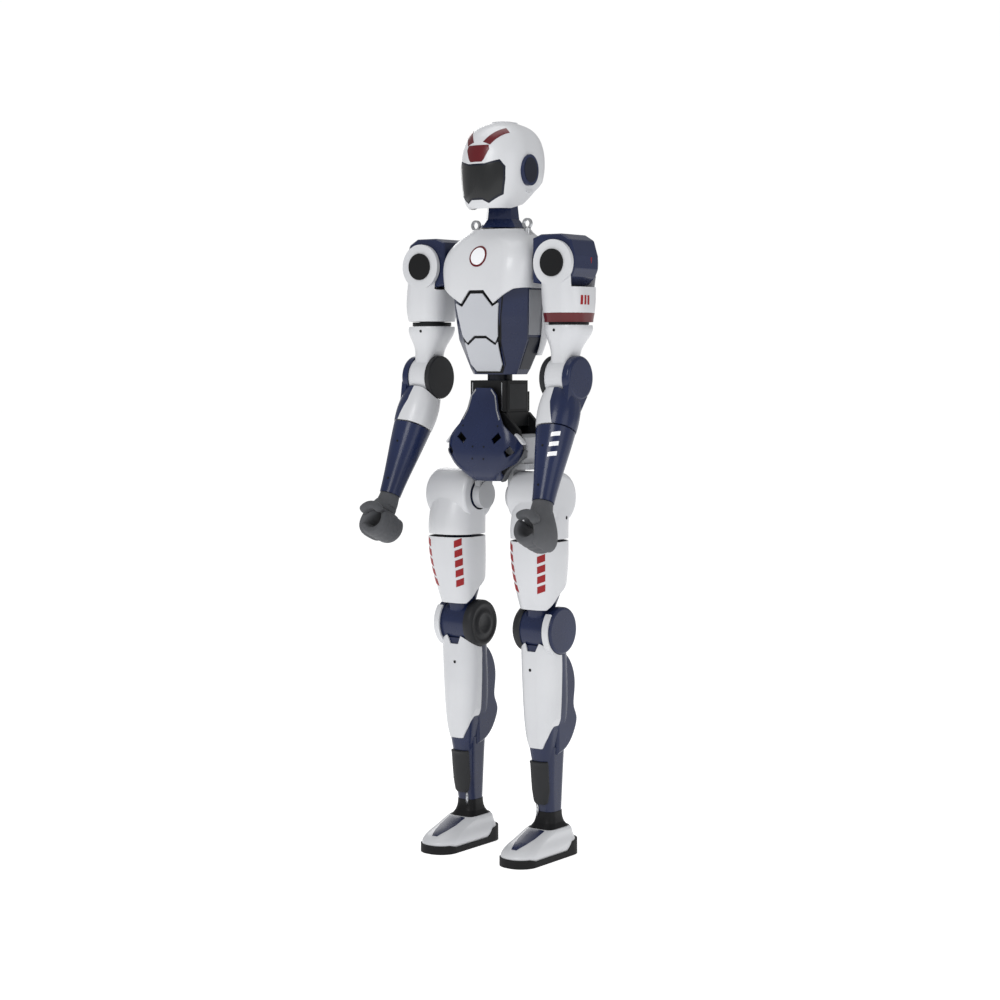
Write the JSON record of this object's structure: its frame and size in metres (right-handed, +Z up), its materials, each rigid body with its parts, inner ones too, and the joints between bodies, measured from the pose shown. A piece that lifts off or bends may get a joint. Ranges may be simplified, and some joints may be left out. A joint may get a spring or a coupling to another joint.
{
  "type": "humanoid robot",
  "caption": "Full-size bipedal humanoid robot with helmeted head, shelled torso, two jointed arms with gripping hands, and two jointed legs with shod feet.",
  "frame": {"origin": "on the floor, under the middle of the robot's outline", "axes": "+Z up, the robot faces -Y, its left side is +X"},
  "size_m": [0.5192, 0.3383, 1.71],
  "materials": {
    "white_shell": "pearl gloss",
    "navy_shell": "high gloss",
    "black_housing": "satin",
    "dark_metal": "black anodised",
    "grey_casting": "satin",
    "steel": "machined",
    "smoked_visor": "smoked, mirror gloss",
    "grip_rubber": "soft matt",
    "sole_rubber": "matt"
  },
  "bodies": {
    "pelvis": {"pelvis_frame": "dark_metal", "pelvis_cover": "navy_shell", "waist_housing": "black_housing"},
    "torso": {"torso_frame": "dark_metal", "chest_shell": "white_shell", "abdomen_shell": "navy_shell", "abdomen_panels": "white_shell", "back_cover": "white_shell", "left_lifting_eye": "steel", "right_lifting_eye": "steel"},
    "neck": {"neck_column": "navy_shell"},
    "head": {"helmet_shell": "white_shell", "visor": "smoked_visor", "ear_caps": "navy_shell"},
    "left_shoulder": {"left_shoulder_pod": "navy_shell"},
    "left_upper_arm": {"left_upper_arm_shell": "white_shell", "left_shoulder_roll_caps": "black_housing"},
    "left_elbow": {"left_elbow_housing": "white_shell"},
    "left_lower_arm": {"left_elbow_bracket": "navy_shell", "left_elbow_cap": "black_housing", "left_forearm_cuff": "white_shell"},
    "left_forearm": {"left_forearm_shell": "navy_shell", "left_wrist_joint": "black_housing"},
    "left_hand": {"left_hand_palm": "grip_rubber"},
    "left_fingers": {"left_hand_fingers": "grip_rubber"},
    "left_thumb": {"left_hand_thumb": "grip_rubber"},
    "left_hip_cradle": {"left_hip_roll_link": "grey_casting"},
    "left_hip": {"left_hip_yaw_link": "grey_casting"},
    "left_thigh": {"left_thigh_link": "dark_metal", "left_thigh_shell_upper": "white_shell", "left_thigh_shell_lower": "white_shell"},
    "left_shin": {"left_shin_shell": "white_shell", "left_calf_shell": "navy_shell", "left_knee_caps": "navy_shell"},
    "left_ankle": {"left_ankle_cross": "steel"},
    "left_foot": {"left_foot_shell": "white_shell", "left_sole": "sole_rubber"},
    "right_shoulder": {"right_shoulder_pod": "navy_shell"},
    "right_upper_arm": {"right_upper_arm_shell": "white_shell", "right_shoulder_roll_caps": "black_housing"},
    "right_elbow": {"right_elbow_housing": "white_shell"},
    "right_lower_arm": {"right_elbow_bracket": "navy_shell", "right_elbow_cap": "black_housing", "right_forearm_cuff": "white_shell"},
    "right_forearm": {"right_forearm_shell": "navy_shell", "right_wrist_joint": "black_housing"},
    "right_hand": {"right_hand_palm": "grip_rubber"},
    "right_fingers": {"right_hand_fingers": "grip_rubber"},
    "right_thumb": {"right_hand_thumb": "grip_rubber"},
    "right_hip_cradle": {"right_hip_roll_link": "grey_casting"},
    "right_hip": {"right_hip_yaw_link": "grey_casting"},
    "right_thigh": {"right_thigh_link": "dark_metal", "right_thigh_shell_upper": "white_shell", "right_thigh_shell_lower": "white_shell"},
    "right_shin": {"right_shin_shell": "white_shell", "right_calf_shell": "navy_shell", "right_knee_caps": "navy_shell"},
    "right_ankle": {"right_ankle_cross": "steel"},
    "right_foot": {"right_foot_shell": "white_shell", "right_sole": "sole_rubber"}
  },
  "joints": [
    {"name": "waist_yaw", "type": "hinge", "parent": "pelvis", "child": "torso", "pos_m": [0, 0.058, 1.112], "axis": [0, 0, 1], "range_deg": [-40, 40]},
    {"name": "head_yaw", "type": "hinge", "parent": "torso", "child": "neck", "pos_m": [0, 0.068, 1.462], "axis": [0, 0, 1], "range_deg": [-60, 60]},
    {"name": "head_pitch", "type": "hinge", "parent": "neck", "child": "head", "pos_m": [0, 0.068, 1.562], "axis": [1, 0, 0], "range_deg": [-10, 10]},
    {"name": "left_shoulder_pitch", "type": "hinge", "parent": "torso", "child": "left_shoulder", "pos_m": [0.14, 0.058, 1.38], "axis": [-1, 0, 0], "range_deg": [-40, 100]},
    {"name": "left_shoulder_roll", "type": "hinge", "parent": "left_shoulder", "child": "left_upper_arm", "pos_m": [0.19, 0.058, 1.38], "axis": [0, -1, 0], "range_deg": [-4, 75]},
    {"name": "left_arm_yaw", "type": "hinge", "parent": "left_upper_arm", "child": "left_elbow", "pos_m": [0.198, 0.053, 1.246], "axis": [0, 0, 1], "range_deg": [-30, 60]},
    {"name": "left_elbow_pitch", "type": "hinge", "parent": "left_elbow", "child": "left_lower_arm", "pos_m": [0.197, 0.04, 1.12], "axis": [-1, 0, 0], "range_deg": [-20, 75]},
    {"name": "left_forearm_yaw", "type": "hinge", "parent": "left_lower_arm", "child": "left_forearm", "pos_m": [0.20704, -0.01068, 1.00289], "axis": [-0.0785, 0.3959, 0.9149], "range_deg": [-60, 60]},
    {"name": "left_wrist_flex", "type": "hinge", "parent": "left_forearm", "child": "left_hand", "pos_m": [0.22211, -0.0867, 0.82722], "axis": [0, 0.9178, -0.3971], "range_deg": [-25, 25]},
    {"name": "left_finger_curl", "type": "hinge", "parent": "left_hand", "child": "left_fingers", "pos_m": [0.24717, -0.11699, 0.75723], "axis": [0, 0.9178, -0.3971], "range_deg": [-45, 0]},
    {"name": "left_thumb_curl", "type": "hinge", "parent": "left_hand", "child": "left_thumb", "pos_m": [0.23971, -0.14132, 0.82942], "axis": [0, 0.9178, -0.3971], "range_deg": [0, 27]},
    {"name": "left_hip_roll", "type": "hinge", "parent": "pelvis", "child": "left_hip_cradle", "pos_m": [0.066, 0.058, 0.958], "axis": [0, -1, 0], "range_deg": [-2, 25]},
    {"name": "left_hip_yaw", "type": "hinge", "parent": "left_hip_cradle", "child": "left_hip", "pos_m": [0.066, 0.058, 0.916], "axis": [0, 0, 1], "range_deg": [-10, 25]},
    {"name": "left_hip_pitch", "type": "hinge", "parent": "left_hip", "child": "left_thigh", "pos_m": [0.08, 0.058, 0.845], "axis": [-1, 0, 0], "range_deg": [-20, 80]},
    {"name": "left_knee_pitch", "type": "hinge", "parent": "left_thigh", "child": "left_shin", "pos_m": [0.116, 0.076, 0.537], "axis": [1, 0, 0], "range_deg": [0, 95]},
    {"name": "left_ankle_pitch", "type": "hinge", "parent": "left_shin", "child": "left_ankle", "pos_m": [0.116, 0.097, 0.078], "axis": [-1, 0, 0], "range_deg": [-25, 20]},
    {"name": "left_ankle_roll", "type": "hinge", "parent": "left_ankle", "child": "left_foot", "pos_m": [0.116, 0.097, 0.078], "axis": [0, 1, 0], "range_deg": [-10, 10]},
    {"name": "right_shoulder_pitch", "type": "hinge", "parent": "torso", "child": "right_shoulder", "pos_m": [-0.14, 0.058, 1.38], "axis": [-1, 0, 0], "range_deg": [-40, 100]},
    {"name": "right_shoulder_roll", "type": "hinge", "parent": "right_shoulder", "child": "right_upper_arm", "pos_m": [-0.19, 0.058, 1.38], "axis": [0, 1, 0], "range_deg": [-4, 75]},
    {"name": "right_arm_yaw", "type": "hinge", "parent": "right_upper_arm", "child": "right_elbow", "pos_m": [-0.198, 0.053, 1.246], "axis": [0, 0, -1], "range_deg": [-30, 60]},
    {"name": "right_elbow_pitch", "type": "hinge", "parent": "right_elbow", "child": "right_lower_arm", "pos_m": [-0.197, 0.04, 1.12], "axis": [-1, 0, 0], "range_deg": [-20, 75]},
    {"name": "right_forearm_yaw", "type": "hinge", "parent": "right_lower_arm", "child": "right_forearm", "pos_m": [-0.20704, -0.01068, 1.00289], "axis": [-0.0785, -0.3959, -0.9149], "range_deg": [-60, 60]},
    {"name": "right_wrist_flex", "type": "hinge", "parent": "right_forearm", "child": "right_hand", "pos_m": [-0.22211, -0.0867, 0.82722], "axis": [0, -0.9178, 0.3971], "range_deg": [-25, 25]},
    {"name": "right_finger_curl", "type": "hinge", "parent": "right_hand", "child": "right_fingers", "pos_m": [-0.24717, -0.11699, 0.75723], "axis": [0, -0.9178, 0.3971], "range_deg": [-45, 0]},
    {"name": "right_thumb_curl", "type": "hinge", "parent": "right_hand", "child": "right_thumb", "pos_m": [-0.23971, -0.14132, 0.82942], "axis": [0, -0.9178, 0.3971], "range_deg": [0, 27]},
    {"name": "right_hip_roll", "type": "hinge", "parent": "pelvis", "child": "right_hip_cradle", "pos_m": [-0.066, 0.058, 0.958], "axis": [0, 1, 0], "range_deg": [-2, 25]},
    {"name": "right_hip_yaw", "type": "hinge", "parent": "right_hip_cradle", "child": "right_hip", "pos_m": [-0.066, 0.058, 0.916], "axis": [0, 0, -1], "range_deg": [-10, 25]},
    {"name": "right_hip_pitch", "type": "hinge", "parent": "right_hip", "child": "right_thigh", "pos_m": [-0.08, 0.058, 0.845], "axis": [-1, 0, 0], "range_deg": [-20, 80]},
    {"name": "right_knee_pitch", "type": "hinge", "parent": "right_thigh", "child": "right_shin", "pos_m": [-0.116, 0.076, 0.537], "axis": [1, 0, 0], "range_deg": [0, 95]},
    {"name": "right_ankle_pitch", "type": "hinge", "parent": "right_shin", "child": "right_ankle", "pos_m": [-0.116, 0.097, 0.078], "axis": [-1, 0, 0], "range_deg": [-25, 20]},
    {"name": "right_ankle_roll", "type": "hinge", "parent": "right_ankle", "child": "right_foot", "pos_m": [-0.116, 0.097, 0.078], "axis": [0, -1, 0], "range_deg": [-10, 10]}
  ],
  "couplings": [
    {"joint": "left_thumb_curl", "follows": "left_finger_curl", "ratio": -0.6},
    {"joint": "right_thumb_curl", "follows": "right_finger_curl", "ratio": -0.6}
  ]
}
